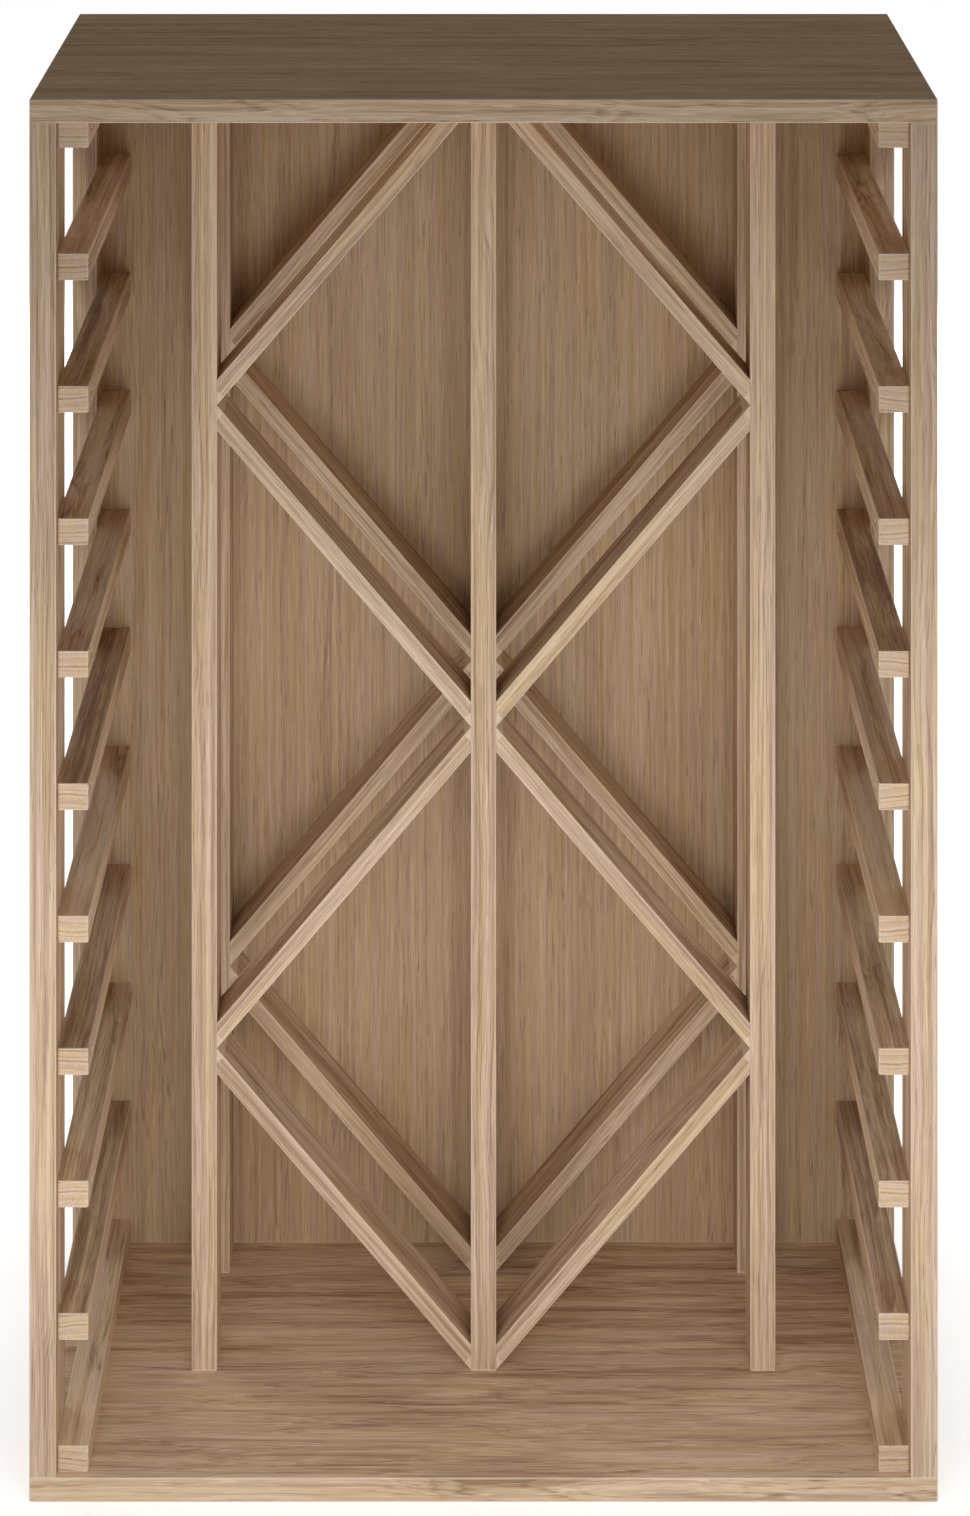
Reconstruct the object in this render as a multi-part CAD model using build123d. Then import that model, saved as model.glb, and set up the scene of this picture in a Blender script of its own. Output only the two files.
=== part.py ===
from build123d import *
import os
from math import sqrt

# A free-standing wooden rack: two open side columns with rungs, and a lattice bay between them.
# Millimetres. The origin is on the floor under the rack's middle, +Z is up and the front faces -Y.

# Overall size
WIDTH = 680.0
DEPTH = 320.0
HEIGHT = 1050.0

# Boards and sticks
BOARD_THICKNESS = 18.0
PANEL_THICKNESS = 4.0
POST_WIDTH = 20.0
POST_DEPTH = 45.0
FRONT_POST_DEPTH = 55.0
RUNG_WIDTH = 23.5
RUNG_HEIGHT = 20.0
SLAT_THICKNESS = 13.0
SLAT_DEPTH = 45.0
ARRIS = 1.0
RUNG_ARRIS = 0.5
RUNG_NOSE = 2.0

# Layout: clear width of a side column, and how far pieces stand behind the rack's front
COLUMN_WIDTH = 90.0
DIVIDER_SETBACK = 135.0
RUNG_SETBACK = 6.5
RUNGS_PER_SIDE = 11
SLATS_PER_BAY = 4

# Clearance round every fastener
FIT = 0.1

# Dowels between the posts and the top board, and the wood left over a dowel's end in that board
DOWEL_DIAMETER = 8.0
DOWEL_IN_POST = 18.0
DOWEL_COVER = 6.0
DOWEL_CHAMFER = 0.8

# Countersunk screws: up through the base into the posts, and through the rungs into the outer posts
BASE_SCREW_DIAMETER = 4.0
BASE_SCREW_BITE = 27.0
RUNG_SCREW_DIAMETER = 3.5
RUNG_SCREW_COVER = 8.0
HEAD_RATIO = 2.0
HEAD_RECESS = 0.5
HEAD_LIP = 0.3
CROSS_WIDTH = 0.9
CROSS_DEPTH = 1.6

# Lost-head brads through the slat ends, set under the slat's face, and the gap between the points of
# two brads that meet in the centre post from either side
BRAD_DIAMETER = 1.4
BRAD_HEAD_DIAMETER = 2.0
BRAD_HEAD_LENGTH = 1.0
BRAD_SPACING = 9.0
BRAD_SET = 1.2
BRAD_GAP = 2.0

# Flat-head pins through the back panel into the rear posts
PIN_DIAMETER = 1.2
PIN_HEAD_DIAMETER = 2.4
PIN_HEAD_LENGTH = 0.5
PIN_BITE = 12.0
PIN_ROWS = 6
PIN_END_MARGIN = 60.0

# Places that follow from the sizes
FRONT = -DEPTH / 2
BACK = DEPTH / 2
FLOOR = BOARD_THICKNESS
CEILING = HEIGHT - BOARD_THICKNESS
CLEAR_HEIGHT = CEILING - FLOOR
PANEL_FRONT = BACK - PANEL_THICKNESS
REAR_POST_FRONT = PANEL_FRONT - POST_DEPTH
DIVIDER_FRONT = FRONT + DIVIDER_SETBACK
RUNG_FRONT = FRONT + RUNG_SETBACK
OUTER_POST_X = (WIDTH - POST_WIDTH) / 2
DIVIDER_X = OUTER_POST_X - POST_WIDTH - COLUMN_WIDTH
BAY_WIDTH = DIVIDER_X - POST_WIDTH
RUNG_PITCH = (CLEAR_HEIGHT - RUNG_HEIGHT) / (RUNGS_PER_SIDE - 1)

# Each slat falls one step of the lattice: the rise between its ends and its own upright thickness,
# which is SLAT_THICKNESS over the cosine of its slope. The rise is the root of that equation.
SLAT_STEP = CLEAR_HEIGHT / SLATS_PER_BAY
SLENDERNESS = SLAT_THICKNESS / BAY_WIDTH
SLAT_ROOT = SLENDERNESS * sqrt(SLAT_STEP**2 + BAY_WIDTH**2 - SLAT_THICKNESS**2)
SLAT_RISE = (SLAT_STEP - SLAT_ROOT) / (1 - SLENDERNESS**2)
SLAT_UPRIGHT = SLAT_STEP - SLAT_RISE

SIDES = {"left": -1, "right": 1}

pieces = {}
groups = {}
holes = {}


def block(low, high):
    """A plain box between its lowest and highest corners."""
    size = [b - a for a, b in zip(low, high)]
    return Pos(*low) * Box(*size, align=(Align.MIN, Align.MIN, Align.MIN))


def turned(*profile):
    """A solid turned about +Z from (radius, height) points that start and end on the axis."""
    return revolve(make_face(Plane.XZ * Polyline(*profile, close=True)), Axis.Z)


def driven(point, direction, shape):
    """A shape made along +Z, moved so that it starts at a point and runs in a direction."""
    return Plane(origin=point, z_dir=direction).location * shape


def fasten(group, names, point, direction, fastener):
    """Add one fastener to its group, and its hole to each piece that it passes through."""
    solid, hole = fastener
    groups.setdefault(group, []).append(driven(point, direction, solid))
    for name in names:
        holes.setdefault(name, []).append(driven(point, direction, hole))


def dowel(diameter, length):
    """A dowel with chamfered ends that stands on the bottom of its hole, and that hole."""
    radius = diameter / 2
    end = radius - DOWEL_CHAMFER
    bore = radius + FIT
    solid = turned((0, 0), (end, 0), (radius, DOWEL_CHAMFER), (radius, length - DOWEL_CHAMFER),
                   (end, length), (0, length))
    hole = turned((0, 0), (bore, 0), (bore, length + FIT), (0, length + FIT))
    return solid, hole


def screw(diameter, length):
    """A countersunk screw with a cross recess, sunk a little under the face, and its hole."""
    radius = diameter / 2
    head = radius * HEAD_RATIO
    lip = HEAD_RECESS + HEAD_LIP
    neck = lip + head - radius
    tip = HEAD_RECESS + length
    bore = radius + FIT
    mouth = head + FIT
    solid = turned((0, HEAD_RECESS), (head, HEAD_RECESS), (head, lip), (radius, neck),
                   (radius, tip - diameter), (0, tip))
    for arm in ((head, CROSS_WIDTH), (CROSS_WIDTH, head)):
        solid -= Pos(0, 0, HEAD_RECESS) * Box(*arm, 2 * CROSS_DEPTH)
    hole = turned((0, 0), (mouth, 0), (mouth, lip), (bore, neck), (bore, tip + FIT), (0, tip + FIT))
    return solid, hole


def nail(diameter, head_diameter, head_length, length, run_out):
    """A headed nail that starts at its head's face, and its hole, which runs out past that face."""
    radius = diameter / 2
    head = head_diameter / 2
    bore = radius + FIT
    mouth = head + FIT
    solid = turned((0, 0), (head, 0), (head, head_length), (radius, head_length),
                   (radius, length - diameter), (0, length))
    hole = turned((0, -run_out), (mouth, -run_out), (mouth, head_length), (bore, head_length),
                  (bore, length + FIT), (0, length + FIT))
    return solid, hole


def make_boards():
    """The top board, the base board and the thin panel that stands between them at the back."""
    for name, bottom in (("base_board", 0), ("top_board", CEILING)):
        board = block((-WIDTH / 2, FRONT, bottom), (WIDTH / 2, BACK, bottom + BOARD_THICKNESS))
        pieces[name] = fillet(board.edges(), ARRIS)
    pieces["back_panel"] = block((-WIDTH / 2, PANEL_FRONT, FLOOR), (WIDTH / 2, BACK, CEILING))


def make_post(name, x, front, depth=POST_DEPTH):
    """One post between the boards, dowelled to the top board and screwed to the base."""
    low = (x - POST_WIDTH / 2, front, FLOOR)
    high = (x + POST_WIDTH / 2, front + depth, CEILING)
    pieces[name] = fillet(block(low, high).edges().filter_by(Axis.Z), ARRIS)
    pin = dowel(DOWEL_DIAMETER, DOWEL_IN_POST + BOARD_THICKNESS - DOWEL_COVER)
    bolt = screw(BASE_SCREW_DIAMETER, BOARD_THICKNESS - HEAD_RECESS + BASE_SCREW_BITE)
    for y in (front + depth / 4, front + depth * 3 / 4):
        fasten("top_dowels", (name, "top_board"), (x, y, CEILING - DOWEL_IN_POST), (0, 0, 1), pin)
        fasten("base_screws", (name, "base_board"), (x, y, 0), (0, 0, 1), bolt)


def make_posts():
    """Front and rear posts of the outer sides, the two dividers and the centre."""
    for side, sign in SIDES.items():
        make_post(f"{side}_front_post", sign * OUTER_POST_X, FRONT, FRONT_POST_DEPTH)
        make_post(f"{side}_rear_post", sign * OUTER_POST_X, REAR_POST_FRONT)
        make_post(f"{side}_divider_front_post", sign * DIVIDER_X, DIVIDER_FRONT)
        make_post(f"{side}_divider_rear_post", sign * DIVIDER_X, REAR_POST_FRONT)
    make_post("centre_front_post", 0, DIVIDER_FRONT)
    make_post("centre_rear_post", 0, REAR_POST_FRONT)


def make_rungs(side, sign):
    """One side's rungs, from the base up to the top board, with round front corners and screwed on."""
    outer = WIDTH / 2 - POST_WIDTH
    inner = outer - RUNG_WIDTH
    left, right = sorted((sign * inner, sign * outer))
    fixing = screw(RUNG_SCREW_DIAMETER, RUNG_WIDTH - HEAD_RECESS + POST_WIDTH - RUNG_SCREW_COVER)
    fixing_places = {
        f"{side}_front_post": FRONT + FRONT_POST_DEPTH / 2,
        f"{side}_rear_post": REAR_POST_FRONT + POST_DEPTH / 2,
    }
    for index in range(RUNGS_PER_SIDE):
        name = f"{side}_rung_{index + 1:02d}"
        bottom = FLOOR + index * RUNG_PITCH
        rung = block((left, RUNG_FRONT, bottom), (right, PANEL_FRONT, bottom + RUNG_HEIGHT))
        rung = fillet(rung.edges().filter_by(Axis.Z).group_by(Axis.Y)[0], RUNG_NOSE)
        pieces[name] = fillet(rung.edges().filter_by(Axis.Z, reverse=True), RUNG_ARRIS)
        for post, y in fixing_places.items():
            point = (sign * inner, y, bottom + RUNG_HEIGHT / 2)
            fasten(f"{side}_rung_screws", (name, post), point, (sign, 0, 0), fixing)


def make_slat(name, upper, lower, front, posts):
    """One slat, cut upright at both ends, given by (x, top z) of its upper end and its lower end."""
    corners = (upper, lower, (lower[0], lower[1] - SLAT_UPRIGHT), (upper[0], upper[1] - SLAT_UPRIGHT))
    outline = make_face(Plane.XZ * Polyline(*corners, close=True))
    slat = Pos(0, front, 0) * extrude(outline, SLAT_DEPTH, dir=(0, 1, 0))
    sloping = slat.edges().filter_by(Axis.Y, reverse=True).filter_by(Axis.Z, reverse=True)
    pieces[name] = fillet(sloping, ARRIS)
    in_slat = SLAT_UPRIGHT / 2 * BAY_WIDTH / SLAT_RISE - BRAD_SET
    in_post = (POST_WIDTH - BRAD_GAP) / 2
    brad = nail(BRAD_DIAMETER, BRAD_HEAD_DIAMETER, BRAD_HEAD_LENGTH, in_slat + in_post, SLAT_THICKNESS)
    middle = front + SLAT_DEPTH / 2
    for (x, top), (far_x, _), post in ((upper, lower, posts[0]), (lower, upper, posts[1])):
        towards = 1 if x > far_x else -1
        for y in (middle - BRAD_SPACING / 2, middle + BRAD_SPACING / 2):
            point = (x - towards * in_slat, y, top - SLAT_UPRIGHT / 2)
            fasten("slat_brads", (name, post), point, (towards, 0, 0), brad)


def make_lattice(side, sign, plane, front):
    """The zigzag of slats in one half of the bay, at the front posts or at the rear posts."""
    ends = [
        (sign * POST_WIDTH / 2, f"centre_{plane}_post"),
        (sign * (POST_WIDTH / 2 + BAY_WIDTH), f"{side}_divider_{plane}_post"),
    ]
    for index in range(SLATS_PER_BAY):
        (upper_x, upper_post), (lower_x, lower_post) = ends
        top = CEILING - index * SLAT_STEP
        name = f"{side}_{plane}_slat_{index + 1}"
        make_slat(name, (upper_x, top), (lower_x, top - SLAT_RISE), front, (upper_post, lower_post))
        ends.reverse()


def pin_back_panel():
    """Rows of pins through the back panel into every rear post."""
    columns = {"centre_rear_post": 0}
    for side, sign in SIDES.items():
        columns[f"{side}_rear_post"] = sign * OUTER_POST_X
        columns[f"{side}_divider_rear_post"] = sign * DIVIDER_X
    pin = nail(PIN_DIAMETER, PIN_HEAD_DIAMETER, PIN_HEAD_LENGTH, PANEL_THICKNESS + PIN_BITE, FIT)
    pitch = (CLEAR_HEIGHT - 2 * PIN_END_MARGIN) / (PIN_ROWS - 1)
    for post, x in columns.items():
        for row in range(PIN_ROWS):
            point = (x, BACK, FLOOR + PIN_END_MARGIN + row * pitch)
            fasten("back_panel_pins", ("back_panel", post), point, (0, -1, 0), pin)


make_boards()
make_posts()
for side, sign in SIDES.items():
    make_rungs(side, sign)
    make_lattice(side, sign, "front", DIVIDER_FRONT)
    make_lattice(side, sign, "rear", PANEL_FRONT - SLAT_DEPTH)
pin_back_panel()

os.makedirs("parts", exist_ok=True)
for name, piece in pieces.items():
    export_step(piece - holes.get(name, []), f"parts/{name}.step")
for name, fasteners in groups.items():
    export_step(Compound(fasteners), f"parts/{name}.step")
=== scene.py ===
import logging
import math
import random
from dataclasses import dataclass, replace
from enum import Enum

import bpy
from mathutils import Matrix, Vector


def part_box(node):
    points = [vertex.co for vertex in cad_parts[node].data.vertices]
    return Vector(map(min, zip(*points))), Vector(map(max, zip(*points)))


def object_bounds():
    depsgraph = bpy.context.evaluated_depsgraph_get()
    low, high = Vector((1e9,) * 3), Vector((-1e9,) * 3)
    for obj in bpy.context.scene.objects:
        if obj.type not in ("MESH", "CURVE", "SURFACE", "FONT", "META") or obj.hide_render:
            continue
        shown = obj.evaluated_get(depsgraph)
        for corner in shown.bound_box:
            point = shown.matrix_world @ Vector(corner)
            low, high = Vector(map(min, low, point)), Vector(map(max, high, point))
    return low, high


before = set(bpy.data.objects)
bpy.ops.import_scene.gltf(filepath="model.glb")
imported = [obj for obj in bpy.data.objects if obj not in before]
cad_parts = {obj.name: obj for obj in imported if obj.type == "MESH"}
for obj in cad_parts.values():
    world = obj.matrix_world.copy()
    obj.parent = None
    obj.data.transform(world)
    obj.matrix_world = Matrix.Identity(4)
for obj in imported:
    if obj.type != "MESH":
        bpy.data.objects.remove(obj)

LOG = logging.getLogger("wine_rack")
CAD_LOW, CAD_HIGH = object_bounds()
MM_PER_M = 1000.0
NOISE_ROUGHNESS = 0.55

Pair = tuple[float, float]
Triple = tuple[float, float, float]
Socket = bpy.types.NodeSocket


class Grain(Enum):
    """Which way the fibres run: the turn that lays local X along them and local Z across the rings."""

    ACROSS = (math.pi / 2, 0.0, 0.0)
    DEEP = (0.0, 0.0, math.pi / 2)
    UPRIGHT = (0.0, -math.pi / 2, 0.0)


class Side(Enum):
    """The two mirrored halves of the rack."""

    LEFT = "left"
    RIGHT = "right"


class Plane(Enum):
    """The two upright planes that hold posts and slats."""

    FRONT = "front"
    REAR = "rear"


def linear(red: int, green: int, blue: int) -> tuple[float, float, float, float]:
    """Turn an 8-bit screen colour into the linear colour that a shader takes.

    Args:
        red: Red, 0 to 255.
        green: Green, 0 to 255.
        blue: Blue, 0 to 255.

    Returns:
        The linear colour with full alpha.
    """
    values = []
    for channel in (red, green, blue):
        share = channel / 255
        values.append(share / 12.92 if share <= 0.04045 else ((share + 0.055) / 1.055) ** 2.4)
    return (*values, 1.0)


class Graph:
    """A node tree with short methods that add a node and wire its inputs."""

    def __init__(self, tree: bpy.types.NodeTree) -> None:
        """Hold the tree that the methods add to."""
        self.tree = tree

    def node(self, kind: str, **settings: object) -> bpy.types.Node:
        """Add one node.

        Args:
            kind: Blender's type name of the node.
            settings: Properties to set on it.

        Returns:
            The new node.
        """
        made = self.tree.nodes.new(kind)
        for name, value in settings.items():
            setattr(made, name, value)
        return made

    def feed(self, target: Socket, source: object) -> None:
        """Wire a socket into an input, or set the input's own value.

        Args:
            target: The input.
            source: An output socket, a number or a tuple.
        """
        if isinstance(source, bpy.types.NodeSocket):
            self.tree.links.new(source, target)
        else:
            target.default_value = source

    def math(self, operation: str, *values: object, clamp: bool = False) -> Socket:
        """Add a Math node.

        Args:
            operation: The node's operation.
            values: Its inputs, sockets or numbers.
            clamp: Whether the result is kept between 0 and 1.

        Returns:
            The result socket.
        """
        made = self.node("ShaderNodeMath", operation=operation, use_clamp=clamp)
        for socket, value in zip(made.inputs, values):
            self.feed(socket, value)
        return made.outputs[0]

    def vector(self, operation: str, *values: object, output: str = "Vector") -> Socket:
        """Add a Vector Math node.

        Args:
            operation: The node's operation.
            values: Its vector inputs, sockets or tuples.
            output: Name of the output to return, Vector or Value.

        Returns:
            The named output socket.
        """
        made = self.node("ShaderNodeVectorMath", operation=operation)
        for socket, value in zip(made.inputs, values):
            self.feed(socket, value)
        return made.outputs[output]

    def scaled(self, source: object, factor: object) -> Socket:
        """Multiply a vector by one number.

        Args:
            source: A vector socket or a tuple.
            factor: A socket or a number.

        Returns:
            The scaled vector socket.
        """
        made = self.node("ShaderNodeVectorMath", operation="SCALE")
        self.feed(made.inputs["Vector"], source)
        self.feed(made.inputs["Scale"], factor)
        return made.outputs["Vector"]

    def noise(self, place: Socket, cell: Triple, detail: float = 0.0) -> Socket:
        """Add smooth noise whose lumps have a given size.

        Args:
            place: Coordinates in millimetres.
            cell: Size of a lump along each local axis, in millimetres.
            detail: How many finer octaves are added.

        Returns:
            The noise socket.
        """
        stretched = self.vector("DIVIDE", place, cell)
        made = self.node("ShaderNodeTexNoise", noise_dimensions="3D")
        self.feed(made.inputs["Vector"], stretched)
        self.feed(made.inputs["Scale"], 1.0)
        self.feed(made.inputs["Detail"], detail)
        self.feed(made.inputs["Roughness"], NOISE_ROUGHNESS)
        return made.outputs["Fac"]

    def step(self, value: Socket, start: float, end: float, low: float = 0.0, high: float = 1.0) -> Socket:
        """Add a smooth step.

        Args:
            value: The socket to test.
            start: Where the step starts.
            end: Where it ends.
            low: The result before it.
            high: The result after it.

        Returns:
            The result socket.
        """
        made = self.node("ShaderNodeMapRange", interpolation_type="SMOOTHSTEP")
        for name, source in zip(("Value", "From Min", "From Max", "To Min", "To Max"),
                                (value, start, end, low, high)):
            self.feed(made.inputs[name], source)
        return made.outputs["Result"]

    def ramp(self, value: Socket, stops: dict[float, tuple]) -> Socket:
        """Add a colour ramp.

        Args:
            value: The socket that drives it.
            stops: Place on the ramp to linear colour.

        Returns:
            The colour socket.
        """
        made = self.node("ShaderNodeValToRGB")
        elements = made.color_ramp.elements
        while len(elements) < len(stops):
            elements.new(0.5)
        for element, (place, colour) in zip(elements, sorted(stops.items())):
            element.position = place
            element.color = colour
        self.feed(made.inputs["Fac"], value)
        return made.outputs["Color"]

    def mix(self, factor: object, first: object, second: object, blend: str = "MIX") -> Socket:
        """Mix two colours.

        Args:
            factor: Share of the second, a socket or a number.
            first: Socket or colour.
            second: Socket or colour.
            blend: Blend type.

        Returns:
            The mixed colour socket.
        """
        made = self.node("ShaderNodeMix", data_type="RGBA", blend_type=blend)
        colours = [socket for socket in made.inputs if socket.type == "RGBA"]
        self.feed(made.inputs["Factor"], factor)
        self.feed(colours[0], first)
        self.feed(colours[1], second)
        return next(socket for socket in made.outputs if socket.type == "RGBA")


@dataclass(frozen=True)
class Blank:
    """One wooden piece as it was sawn: where it lies, how its fibres run and how its rings lie."""

    node: str
    turn: Triple
    centre: Triple
    half: Triple
    pith: Pair

    @classmethod
    def from_box(cls, node: str, grain: Grain, pith: Pair) -> "Blank":
        """Describe a piece that fills its own box.

        Args:
            node: Name of the CAD node.
            grain: Which way its fibres run.
            pith: Place of the log's heart across the piece, in millimetres.

        Returns:
            The blank.
        """
        low, high = (Vector(corner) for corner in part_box(node))
        size = (high - low) / 2
        halves = {
            Grain.ACROSS: (size.x, size.z, size.y),
            Grain.DEEP: (size.y, size.x, size.z),
            Grain.UPRIGHT: (size.z, size.y, size.x),
        }
        return cls(node, grain.value, tuple((low + high) / 2), halves[grain], pith)

    def draws(self) -> random.Random:
        """Return the piece's own source of chance, the same in every run."""
        return random.Random(self.node)


def heart_of(node: str, sway: float, reach: float) -> Pair:
    """Place the heart of the log that a piece was sawn from.

    Args:
        node: Name of the piece, which settles the chance.
        sway: How far the heart may lie to either side of the piece, in millimetres.
        reach: How far from the piece it lies, on one side or the other, in millimetres.

    Returns:
        The heart's place across the piece.
    """
    chance = random.Random(f"heart of {node}")
    return chance.uniform(-sway, sway), chance.choice((-1, 1)) * reach


@dataclass(frozen=True)
class WoodFinish:
    """Solid wood with growth rings, streaks, fibres, pores and a painted highlight along the arrises, left
    matt.

    Colours are 8-bit screen colours, lengths and cells are in millimetres, a cut is the range of noise
    over which a mark comes in, and weights and shares have no unit.
    """

    name: str
    pale: Triple
    middle: Triple
    dark: Triple
    pore: Triple
    # Colour of the painted highlight along the arrises
    arris: Triple = (238, 219, 193)
    honey: Triple = (255, 252, 238)
    rose: Triple = (255, 251, 253)
    ring_width: float = 4.2
    ring_weight: float = 0.32
    ring_bend: float = 30.0
    ring_waver: float = 3.2
    ring_crowding: float = 4.0
    crowding_scale: float = 0.09
    ring_rise: float = 0.84
    ring_fall: float = 0.6
    ring_faintest: float = 0.2
    waver_cell: Triple = (60.0, 6.0, 6.0)
    patch_cell: Triple = (210.0, 55.0, 30.0)
    patch_weight: float = 0.36
    sway: float = 5.0
    streak_cell: Triple = (420.0, 8.0, 3.4)
    streak_weight: float = 1.7
    fibre_cell: Triple = (170.0, 1.8, 0.95)
    fibre_weight: float = 0.9
    fleck_cell: Triple = (36.0, 1.3, 0.9)
    fleck_cut: Pair = (0.60, 0.74)
    fleck_weight: float = 0.22
    hue_cell: Triple = (240.0, 12.0, 6.0)
    honey_cut: Pair = (0.4, 0.66)
    rose_cut: Pair = (0.34, 0.5)
    vessel_cell: Triple = (24.0, 0.8, 0.7)
    vessel_cut: Pair = (0.60, 0.72)
    late_pores: float = 0.3
    pore_depth: float = 0.55
    end_fade: float = 0.8
    skin: Pair = (0.05, 0.4)
    arris_band: Pair = (0.2, 1.6)
    arris_floor: float = 0.3
    arris_highlight_share: float = 0.75
    face_calm_and_warm_light: float = 0.0
    face_fade: float = 0.4
    middle_shade: float = 0.45
    tone_spread: float = 0.08
    seed_reach: float = 4000.0
    smooth: float = 0.52
    fibre_roughness: float = 0.3
    pore_relief: float = 0.5
    relief: float = 0.5
    relief_depth_m: float = 0.0003
    shine: float = 0.2
    shine_facing: Pair = (0.3, 0.7)

    def figure(self) -> bpy.types.NodeTree:
        """Return the node group that paints this wood, made once.

        Returns:
            A group from place, half size, pith, seed and tone to colour, roughness and height.
        """
        known = bpy.data.node_groups.get(self.name)
        if known:
            return known
        tree = bpy.data.node_groups.new(self.name, "ShaderNodeTree")
        for name, kind in (("Place", "Vector"), ("Half", "Vector"), ("Pith", "Vector"),
                           ("Seed", "Vector"), ("Tone", "Float")):
            tree.interface.new_socket(name, in_out="INPUT", socket_type=f"NodeSocket{kind}")
        for name, kind in (("Colour", "Color"), ("Roughness", "Float"), ("Height", "Float")):
            tree.interface.new_socket(name, in_out="OUTPUT", socket_type=f"NodeSocket{kind}")
        graph = Graph(tree)
        given = graph.node("NodeGroupInput").outputs
        place = graph.scaled(given["Place"], MM_PER_M)
        still = graph.vector("ADD", place, given["Seed"])
        patch = graph.noise(still, self.patch_cell, detail=1.0)
        drift = graph.math("MULTIPLY_ADD", patch, 2 * self.sway, -self.sway)
        seeded = graph.vector("ADD", still, graph.scaled((0.0, 1.0, 1.0), drift))

        end, edge, face = self.borders(graph, place, given["Half"])
        # Broad faces get calmer figure and a painted warm light from above
        calm_and_warm_light = graph.math("MULTIPLY", face, self.face_calm_and_warm_light)
        streak = graph.noise(seeded, self.streak_cell, detail=2.0)
        fibre = graph.noise(seeded, self.fibre_cell, detail=1.0)
        vessels = graph.step(graph.noise(seeded, self.vessel_cell), *self.vessel_cut)
        flecks = graph.step(graph.noise(seeded, self.fleck_cell), *self.fleck_cut)
        early = self.rings(graph, place, seeded, given["Pith"], patch)
        crowded = graph.math("MULTIPLY_ADD", early, 1.0 - self.late_pores, self.late_pores)
        pores = graph.math("MULTIPLY", vessels, crowded)
        along = graph.math("MULTIPLY_ADD", end, -self.end_fade, 1.0)
        along = graph.math("MULTIPLY", along, graph.math("MULTIPLY_ADD", calm_and_warm_light, -self.face_fade, 1.0))
        # Each mark, its usual value and how much it darkens the wood
        marks = (
            (early, 0.4, self.ring_weight),
            (streak, 0.5, graph.math("MULTIPLY", along, self.streak_weight)),
            (fibre, 0.5, graph.math("MULTIPLY", along, self.fibre_weight)),
            (flecks, 0.1, graph.math("MULTIPLY", along, -self.fleck_weight)),
            (patch, 0.5, self.patch_weight),
        )
        shade = graph.math("ADD", given["Tone"], self.middle_shade)
        for mark, usual, weight in marks:
            shade = graph.math("MULTIPLY_ADD", graph.math("SUBTRACT", mark, usual), weight, shade)
        colour = graph.ramp(shade, {
            0.0: linear(*self.pale), self.middle_shade: linear(*self.middle), 1.0: linear(*self.dark),
        })
        hue = graph.noise(seeded, self.hue_cell)
        # On broad faces the honey tint is full and the rose tint is gone, a painted warm light from above;
        # elsewhere honey and rose patches are the wood's own hue
        warm = graph.math("MAXIMUM", graph.step(hue, *self.honey_cut), calm_and_warm_light)
        colour = graph.mix(warm, colour, linear(*self.honey), "MULTIPLY")
        blush = graph.step(hue, *self.rose_cut, low=1.0, high=0.0)
        blush = graph.math("MULTIPLY", blush, graph.math("SUBTRACT", 1.0, calm_and_warm_light))
        colour = graph.mix(blush, colour, linear(*self.rose), "MULTIPLY")
        colour = graph.mix(graph.math("MULTIPLY", pores, self.pore_depth), colour, linear(*self.pore))
        # Painted highlight along the arrises, broken up by the fibres: it stands in for the light that the
        # rounded edges catch
        arris_highlight = graph.math("MULTIPLY", edge, graph.math("ADD", fibre, self.arris_floor), clamp=True)
        colour = graph.mix(graph.math("MULTIPLY", arris_highlight, self.arris_highlight_share), colour, linear(*self.arris))

        rough = graph.math("MULTIPLY_ADD", fibre, self.fibre_roughness, self.smooth)
        height = graph.math("MULTIPLY_ADD", vessels, -self.pore_relief, fibre)
        result = graph.node("NodeGroupOutput").inputs
        for name, socket in (("Colour", colour), ("Roughness", rough), ("Height", height)):
            graph.feed(result[name], socket)
        return tree

    def rings(self, graph: Graph, place: Socket, seeded: Socket, pith: Socket, patch: Socket) -> Socket:
        """Lay wavering growth rings of uneven width and strength round the heart.

        Args:
            graph: The tree to add to.
            place: Local place in millimetres.
            seeded: The same, moved to the piece's own part of the noise.
            pith: Place of the heart.
            patch: Slow noise that bends the rings.

        Returns:
            Early wood, from 0 to 1.
        """
        around = graph.vector("MULTIPLY", graph.vector("SUBTRACT", place, pith), (0.0, 1.0, 1.0))
        radius = graph.vector("LENGTH", around, output="Value")
        radius = graph.math("MULTIPLY_ADD", patch, self.ring_bend, radius)
        waver = graph.noise(seeded, self.waver_cell, detail=1.0)
        radius = graph.math("MULTIPLY_ADD", waver, self.ring_waver, radius)
        crowding = graph.node("ShaderNodeTexNoise", noise_dimensions="1D")
        graph.feed(crowding.inputs["W"], radius)
        graph.feed(crowding.inputs["Scale"], self.crowding_scale)
        graph.feed(crowding.inputs["Detail"], 1.0)
        count = graph.math("DIVIDE", radius, self.ring_width)
        count = graph.math("MULTIPLY_ADD", crowding.outputs["Fac"], self.ring_crowding, count)
        phase = graph.math("FRACT", count)
        strength = graph.node("ShaderNodeTexWhiteNoise", noise_dimensions="1D")
        graph.feed(strength.inputs["W"], graph.math("FLOOR", count))
        rise = graph.step(phase, self.ring_rise, 1.0)
        fall = graph.step(phase, 0.0, self.ring_fall, 1.0, 0.0)
        faintest = self.ring_faintest
        weight = graph.math("MULTIPLY_ADD", strength.outputs["Value"], 1.0 - faintest, faintest)
        return graph.math("MULTIPLY", graph.math("MAXIMUM", rise, fall), weight)

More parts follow.
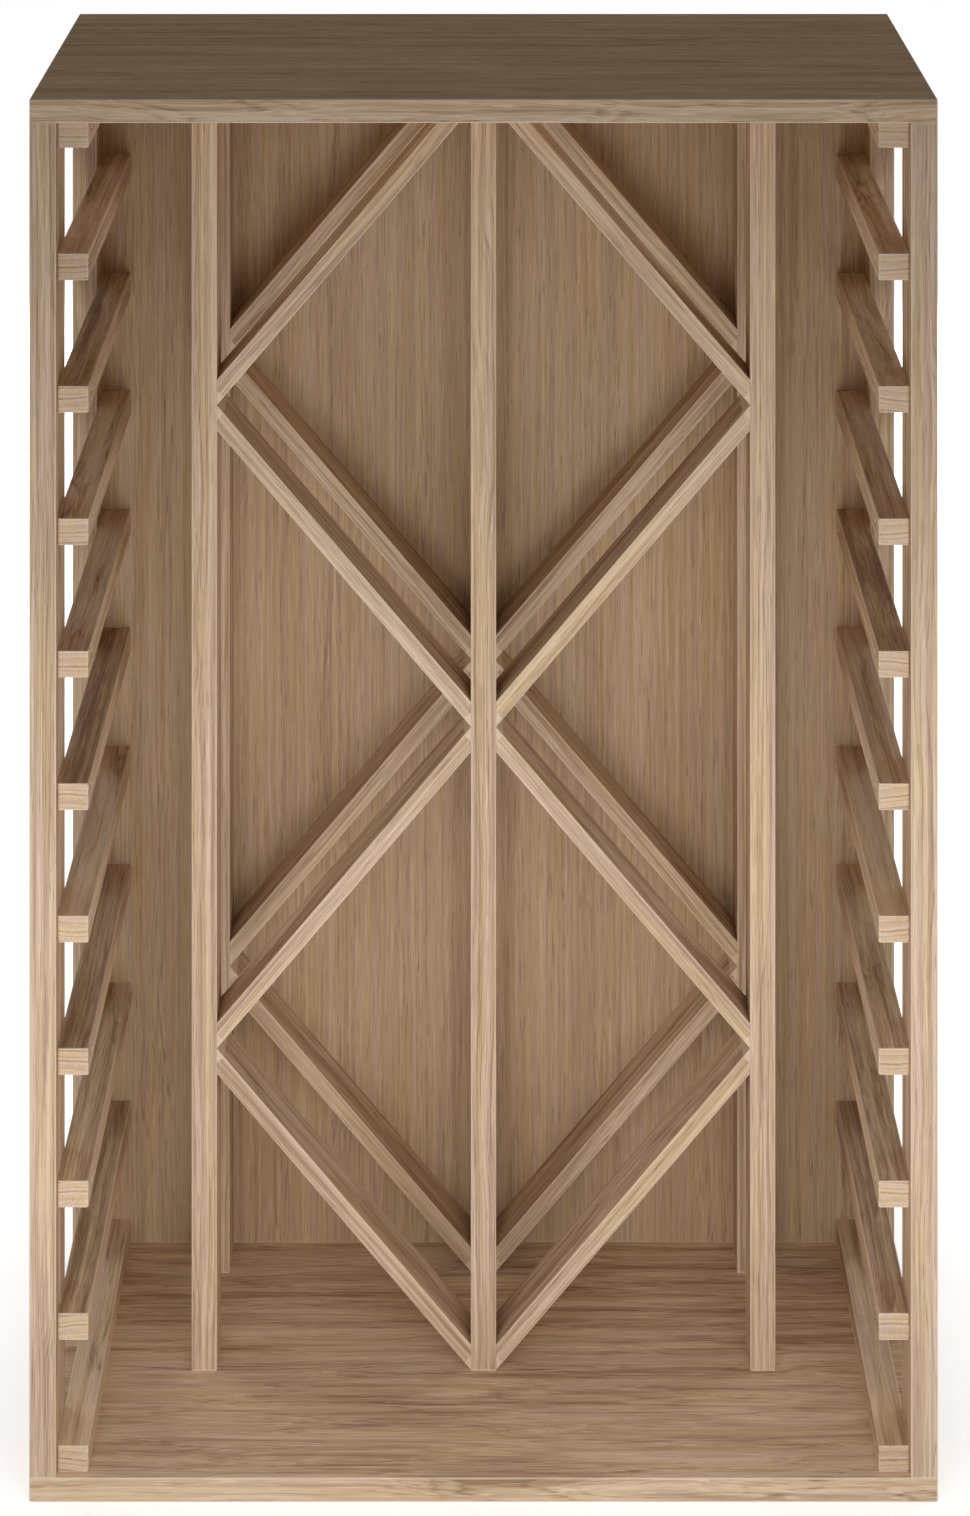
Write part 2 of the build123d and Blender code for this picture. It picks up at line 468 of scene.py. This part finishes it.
    def borders(self, graph: Graph, place: Socket, half: Socket) -> tuple[Socket, Socket, Socket]:
        """Find the sawn ends, the arrises where two faces meet, which carry a painted highlight, and a
        board's broad faces.

        Args:
            graph: The tree to add to.
            place: Local place in millimetres.
            half: Half size of the piece in metres.

        Returns:
            Ends, arrises and broad faces, each from 0 to 1.
        """
        bound = graph.scaled(half, MM_PER_M)
        inside = graph.vector("SUBTRACT", bound, graph.vector("ABSOLUTE", place))
        axes = graph.node("ShaderNodeSeparateXYZ")
        graph.feed(axes.inputs[0], inside)
        near = [graph.step(axis, *self.arris_band, 1.0, 0.0) for axis in axes.outputs]
        pairs = [graph.math("MULTIPLY", near[a], near[b]) for a, b in ((0, 1), (1, 2), (2, 0))]
        edge = graph.math("MAXIMUM", graph.math("MAXIMUM", pairs[0], pairs[1]), pairs[2])
        end, face = (graph.step(axes.outputs[axis], *self.skin, 1.0, 0.0) for axis in (0, 1))
        return end, edge, face

    def material(self, blank: Blank) -> bpy.types.Material:
        """Make the material of one piece.

        Args:
            blank: The piece.

        Returns:
            A material whose figure follows that piece's fibres.
        """
        draws = blank.draws()
        seed = tuple(draws.uniform(-self.seed_reach, self.seed_reach) for _ in range(3))
        made = bpy.data.materials.new(f"{self.name}_{blank.node}")
        made.use_nodes = True
        graph = Graph(made.node_tree)
        shader = made.node_tree.nodes["Principled BSDF"]
        mapping = graph.node("ShaderNodeMapping", vector_type="TEXTURE")
        graph.feed(mapping.inputs["Vector"], graph.node("ShaderNodeTexCoord").outputs["Object"])
        graph.feed(mapping.inputs["Location"], blank.centre)
        graph.feed(mapping.inputs["Rotation"], blank.turn)
        figure = graph.node("ShaderNodeGroup", node_tree=self.figure())
        graph.feed(figure.inputs["Place"], mapping.outputs["Vector"])
        graph.feed(figure.inputs["Half"], blank.half)
        graph.feed(figure.inputs["Pith"], (0.0, *blank.pith))
        graph.feed(figure.inputs["Seed"], seed)
        graph.feed(figure.inputs["Tone"], draws.uniform(-1, 1) * self.tone_spread)
        bump = graph.node("ShaderNodeBump")
        graph.feed(bump.inputs["Strength"], self.relief)
        graph.feed(bump.inputs["Distance"], self.relief_depth_m)
        graph.feed(bump.inputs["Height"], figure.outputs["Height"])
        graph.feed(shader.inputs["Base Color"], figure.outputs["Colour"])
        graph.feed(shader.inputs["Roughness"], figure.outputs["Roughness"])
        graph.feed(shader.inputs["Normal"], bump.outputs["Normal"])
        facing = graph.node("ShaderNodeLayerWeight").outputs["Facing"]
        gloss = graph.step(facing, *self.shine_facing, self.shine, 0.0)
        graph.feed(shader.inputs["Specular IOR Level"], gloss)
        return made


@dataclass(frozen=True)
class MetalFinish:
    """Bare or plated steel with a faint mottle and fine drawn scratches."""

    name: str
    bright: Triple
    dull: Triple
    smooth: float
    rough: float
    mottle_cell: Triple = (0.8, 0.8, 0.8)
    mottle_cut: Pair = (0.3, 0.7)
    rough_cut: Pair = (0.25, 0.75)
    scratch_cell: Triple = (0.08, 0.9, 0.9)
    relief: float = 0.25
    relief_depth_m: float = 0.00005

    def material(self) -> bpy.types.Material:
        """Return this finish's material, made once.

        Returns:
            The shared material.
        """
        known = bpy.data.materials.get(self.name)
        if known:
            return known
        made = bpy.data.materials.new(self.name)
        made.use_nodes = True
        graph = Graph(made.node_tree)
        shader = made.node_tree.nodes["Principled BSDF"]
        place = graph.scaled(graph.node("ShaderNodeTexCoord").outputs["Object"], MM_PER_M)
        mottle = graph.noise(place, self.mottle_cell, detail=4.0)
        scratch = graph.noise(place, self.scratch_cell, detail=2.0)
        stain = graph.step(mottle, *self.mottle_cut)
        colour = graph.mix(stain, linear(*self.bright), linear(*self.dull))
        rough = graph.step(mottle, *self.rough_cut, self.smooth, self.rough)
        bump = graph.node("ShaderNodeBump")
        graph.feed(bump.inputs["Strength"], self.relief)
        graph.feed(bump.inputs["Distance"], self.relief_depth_m)
        graph.feed(bump.inputs["Height"], scratch)
        graph.feed(shader.inputs["Base Color"], colour)
        graph.feed(shader.inputs["Roughness"], rough)
        graph.feed(shader.inputs["Normal"], bump.outputs["Normal"])
        shader.inputs["Metallic"].default_value = 1.0
        return made


OAK = WoodFinish("light_oak", pale=(229, 206, 181), middle=(205, 179, 153), dark=(155, 127, 101),
                 pore=(112, 86, 62))
OAK_BOARD = replace(OAK, name="light_oak_board", honey=(255, 252, 243), pale=(230, 206, 178),
                    middle=(207, 180, 151), dark=(156, 126, 98), ring_width=7.0, ring_weight=0.3,
                    ring_bend=40.0, streak_cell=(300.0, 5.0, 9.0), streak_weight=1.8, fibre_weight=0.75,
                    fleck_weight=0.38, sway=14.0)
# The top board's broad faces get calmer figure and a painted warm light from above, with a warmer honey
OAK_TOP = replace(OAK_BOARD, name="light_oak_top", honey=(255, 249, 241), face_calm_and_warm_light=1.0)
OAK_RUNG = replace(OAK, name="light_oak_rung", ring_width=4.4, ring_weight=0.62, ring_bend=6.0,
                   ring_waver=1.0)
OAK_VENEER = WoodFinish("oak_veneer", pale=(214, 190, 160), middle=(191, 165, 136), dark=(150, 121, 93),
                        pore=(112, 86, 62), ring_weight=0.2, streak_weight=1.0, fibre_weight=0.5,
                        arris_highlight_share=0.2)
BEECH = WoodFinish("plain_beech", pale=(224, 190, 152), middle=(208, 170, 130), dark=(182, 141, 103),
                   pore=(150, 112, 80), ring_width=1.8, ring_weight=0.2, pore_depth=0.3)
ZINC = MetalFinish("zinc_plated_steel", (196, 198, 202), (160, 162, 160), 0.26, 0.44)
WIRE = MetalFinish("bright_wire_steel", (170, 170, 172), (132, 131, 130), 0.30, 0.48)


def dress(node: str, material: bpy.types.Material) -> None:
    """Put a material in every slot of a CAD node, and report it.

    Args:
        node: Name of the node.
        material: Its finish.
    """
    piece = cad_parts[node]
    for index in range(len(piece.data.materials)):
        piece.data.materials[index] = material
    LOG.info("%s: %s, %d triangles", node, material.name, len(piece.data.polygons))


@dataclass(frozen=True)
class Carcass:
    """The top board, the base board and the thin panel at the back."""

    board_heart: Pair = (30.0, 420.0)
    panel_heart: Pair = (60.0, 900.0)

    def dress(self) -> None:
        """Give the boards quarter-sawn tops and the panel an upright veneer."""
        for node, finish in (("top_board", OAK_TOP), ("base_board", OAK_BOARD)):
            dress(node, finish.material(Blank.from_box(node, Grain.ACROSS, self.board_heart)))
        panel = Blank.from_box("back_panel", Grain.UPRIGHT, self.panel_heart)
        dress("back_panel", OAK_VENEER.material(panel))


@dataclass(frozen=True)
class Posts:
    """The ten uprights between the boards."""

    heart_sway: float = 60.0
    heart_beside: float = 130.0

    @staticmethod
    def names() -> list[str]:
        """Return the posts' node names."""
        stems = [side.value + part for side in Side for part in ("", "_divider")] + ["centre"]
        return [f"{stem}_{plane.value}_post" for stem in stems for plane in Plane]

    def dress(self) -> None:
        """Give every post straight upright grain on its front."""
        for node in self.names():
            heart = heart_of(node, self.heart_sway, self.heart_beside)
            dress(node, OAK.material(Blank.from_box(node, Grain.UPRIGHT, heart)))


@dataclass(frozen=True)
class RungLadder:
    """One side's rungs, from the base board up to the top board."""

    side: Side
    count: int = 11
    heart_sway: float = 25.0
    heart_above: float = 260.0

    def dress(self) -> None:
        """Give every rung grain from front to back, with level rings on its end."""
        for index in range(1, self.count + 1):
            node = f"{self.side.value}_rung_{index:02d}"
            heart = heart_of(node, self.heart_sway, self.heart_above)
            dress(node, OAK_RUNG.material(Blank.from_box(node, Grain.DEEP, heart)))


@dataclass(frozen=True)
class Lattice:
    """The zigzag of slats in one half of the bay, in the front plane or in the rear plane."""

    side: Side
    plane: Plane
    count: int = 4
    thickness: float = 0.013
    heart_sway: float = 40.0
    heart_beside: float = 110.0

    def slope(self, run: float, drop: float) -> float:
        """Return a slat's angle from level.

        Args:
            run: Width of its box.
            drop: Height of its box, which is its rise and its own upright thickness.

        Returns:
            The angle in radians.
        """
        share = self.thickness / run
        root = share * math.sqrt(drop**2 + run**2 - self.thickness**2)
        return math.atan2((drop - root) / (1 - share**2), run)

    def dress(self) -> None:
        """Give every slat grain along its own slope."""
        for index in range(1, self.count + 1):
            node = f"{self.side.value}_{self.plane.value}_slat_{index}"
            low, high = (Vector(corner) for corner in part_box(node))
            size = high - low
            angle = self.slope(size.x, size.z)
            rises_right = (self.side is Side.LEFT) == (index % 2 == 1)
            half = (size.x / math.cos(angle) / 2, size.y / 2, self.thickness / 2)
            heart = heart_of(node, self.heart_sway, self.heart_beside)
            turn = (0.0, -angle if rises_right else angle, 0.0)
            blank = Blank(node, turn, tuple((low + high) / 2), half, heart)
            dress(node, OAK.material(blank))


@dataclass(frozen=True)
class Fasteners:
    """The dowels, screws, brads and pins that hold the rack together."""

    dowel_heart: Pair = (50.0, 400.0)

    def dress(self) -> None:
        """Give each group its beech, zinc or bright wire."""
        dowels = Blank.from_box("top_dowels", Grain.UPRIGHT, self.dowel_heart)
        dress("top_dowels", BEECH.material(dowels))
        for node in ("base_screws", "left_rung_screws", "right_rung_screws"):
            dress(node, ZINC.material())
        for node in ("slat_brads", "back_panel_pins"):
            dress(node, WIRE.material())


@dataclass(frozen=True)
class Softbox:
    """A soft lamp: its size, where it stands, what it faces and its power in watts."""

    name: str
    width: float
    height: float
    place: Triple
    aim: Triple
    power: float

    def build(self) -> None:
        """Add the lamp, out of the camera's sight."""
        data = bpy.data.lights.new(self.name, "AREA")
        data.shape = "RECTANGLE"
        data.size = self.width
        data.size_y = self.height
        data.energy = self.power
        lamp = bpy.data.objects.new(self.name, data)
        lamp.location = self.place
        lamp.rotation_euler = (Vector(self.aim) - Vector(self.place)).to_track_quat("-Z", "Y").to_euler()
        lamp.visible_camera = False
        bpy.context.scene.collection.objects.link(lamp)
        LOG.info("lamp %s: %.0f W", self.name, self.power)


LAMPS = (
    Softbox("front_key", width=1.1, height=0.7, place=(0.0, -0.71, 0.4), aim=(0.0, 0.0, 0.4), power=4.7),
    Softbox("left_fill", width=1.2, height=1.0, place=(-2.6, 1.2, 0.6), aim=(0.0, 0.0, 0.5), power=26.0),
    Softbox("right_fill", width=1.2, height=1.0, place=(2.6, 1.2, 0.6), aim=(0.0, 0.0, 0.5), power=26.0),
    Softbox("back_fill", width=2.0, height=1.0, place=(0.0, 3.0, 0.7), aim=(0.0, 0.0, 0.5), power=40.0),
)


@dataclass(frozen=True)
class Studio:
    """A pale floor that runs out of sight, soft lamps and an even sky."""

    floor_size: float = 60.0
    floor_drop: float = 0.0003
    floor_glow: float = 0.84
    shadow_glow: float = 0.54
    shadow_reach: float = 0.26
    floor_white: float = 0.82
    floor_roughness: float = 0.9
    sky_level: float = 0.19

    def build(self) -> None:
        """Make the floor, the sky and the lamps."""
        bpy.context.scene.view_settings.view_transform = "Standard"
        self.build_floor()
        self.build_sky()
        for lamp in LAMPS:
            lamp.build()

    @staticmethod
    def seen_directly(graph: Graph) -> Socket:
        """Tell the rays that show a surface to the camera from those that only carry light.

        Args:
            graph: The tree to add to.

        Returns:
            1 for rays from the camera, or by way of gloss or glass, and 0 for light bounces.
        """
        path = graph.node("ShaderNodeLightPath").outputs
        seen = graph.math("MAXIMUM", path["Is Camera Ray"], path["Is Glossy Ray"])
        return graph.math("MAXIMUM", seen, path["Is Transmission Ray"])

    def build_floor(self) -> None:
        """Make the floor white to the eye, with less glow near the rack: a painted shade round its base,
        through which its real shadow shows.
        """
        bpy.ops.object.select_all(action="DESELECT")
        bpy.ops.mesh.primitive_plane_add(size=self.floor_size, location=(0.0, 0.0, -self.floor_drop))
        floor = bpy.context.object
        floor.name = "studio_floor"
        made = bpy.data.materials.new("white_floor")
        made.use_nodes = True
        graph = Graph(made.node_tree)
        shader = made.node_tree.nodes["Principled BSDF"]
        shader.inputs["Base Color"].default_value = (self.floor_white,) * 3 + (1.0,)
        shader.inputs["Roughness"].default_value = self.floor_roughness
        shader.inputs["Specular IOR Level"].default_value = 0.0
        shader.inputs["Emission Color"].default_value = (1.0, 1.0, 1.0, 1.0)
        place = graph.node("ShaderNodeTexCoord").outputs["Object"]
        beside = graph.vector("SUBTRACT", graph.vector("ABSOLUTE", place), tuple(CAD_HIGH))
        away = graph.vector("LENGTH", graph.vector("MAXIMUM", beside, (0.0, 0.0, 0.0)), output="Value")
        # Less glow within shadow_reach of the rack: painted shade round the base, where the real shadow
        # shows through
        glow = graph.step(away, 0.0, self.shadow_reach, self.shadow_glow, self.floor_glow)
        glow = graph.math("MULTIPLY", self.seen_directly(graph), glow)
        graph.feed(shader.inputs["Emission Strength"], glow)
        floor.data.materials.append(made)

    def build_sky(self) -> None:
        """Make an even sky that looks white but lights the rack gently."""
        world = bpy.data.worlds.new("white_sky")
        bpy.context.scene.world = world
        world.use_nodes = True
        graph = Graph(world.node_tree)
        background = world.node_tree.nodes["Background"]
        background.inputs["Color"].default_value = (1.0, 1.0, 1.0, 1.0)
        level = graph.math("MULTIPLY_ADD", self.seen_directly(graph), 1.0 - self.sky_level, self.sky_level)
        graph.feed(background.inputs["Strength"], level)


@dataclass(frozen=True)
class ViewCamera:
    """A view camera: it stands high, and its picture plane stays upright while it looks down.

    The photograph's uprights are all parallel, so the camera's own axes are set askew, as the
    standards of a view camera are, and its lens needs no shift.
    """

    distance: float = 2.567
    height: float = 1.627
    focal_px: float = 3429.9
    axis_px: Pair = (483.5, -671.8)
    picture_px: Pair = (970.0, 1516.0)
    sensor_mm: float = 36.0

    def build(self) -> None:
        """Add the camera and make it the scene's own."""
        across = (self.picture_px[0] / 2 - self.axis_px[0]) / self.focal_px
        down = (self.picture_px[1] / 2 - self.axis_px[1]) / self.focal_px
        backwards = Vector((-across, -1.0, down))
        stretch = backwards.length
        backwards.normalize()
        data = bpy.data.cameras.new("view_camera")
        data.sensor_width = self.sensor_mm
        data.lens = self.focal_px * stretch / max(self.picture_px) * self.sensor_mm
        camera = bpy.data.objects.new("view_camera", data)
        tripod = bpy.data.objects.new("tripod", None)
        for item in (camera, tripod):
            bpy.context.scene.collection.objects.link(item)
        camera.parent = tripod
        place = (0.0, CAD_LOW[1] - self.distance, self.height)
        columns = ((1.0, 0.0, 0.0), (0.0, 0.0, 1.0), tuple(backwards), place)
        rows = [list(row) for row in zip(*columns)]
        camera.matrix_parent_inverse = Matrix(rows + [[0.0, 0.0, 0.0, 1.0]])
        bpy.context.scene.camera = camera


def main() -> None:
    """Dress every piece of the rack, then set up the studio and the camera."""
    logging.basicConfig(level=logging.INFO, format="%(name)s %(message)s")
    Carcass().dress()
    Posts().dress()
    for side in Side:
        RungLadder(side).dress()
        for plane in Plane:
            Lattice(side, plane).dress()
    Fasteners().dress()
    Studio().build()
    ViewCamera().build()


if __name__ == "__main__":
    main()
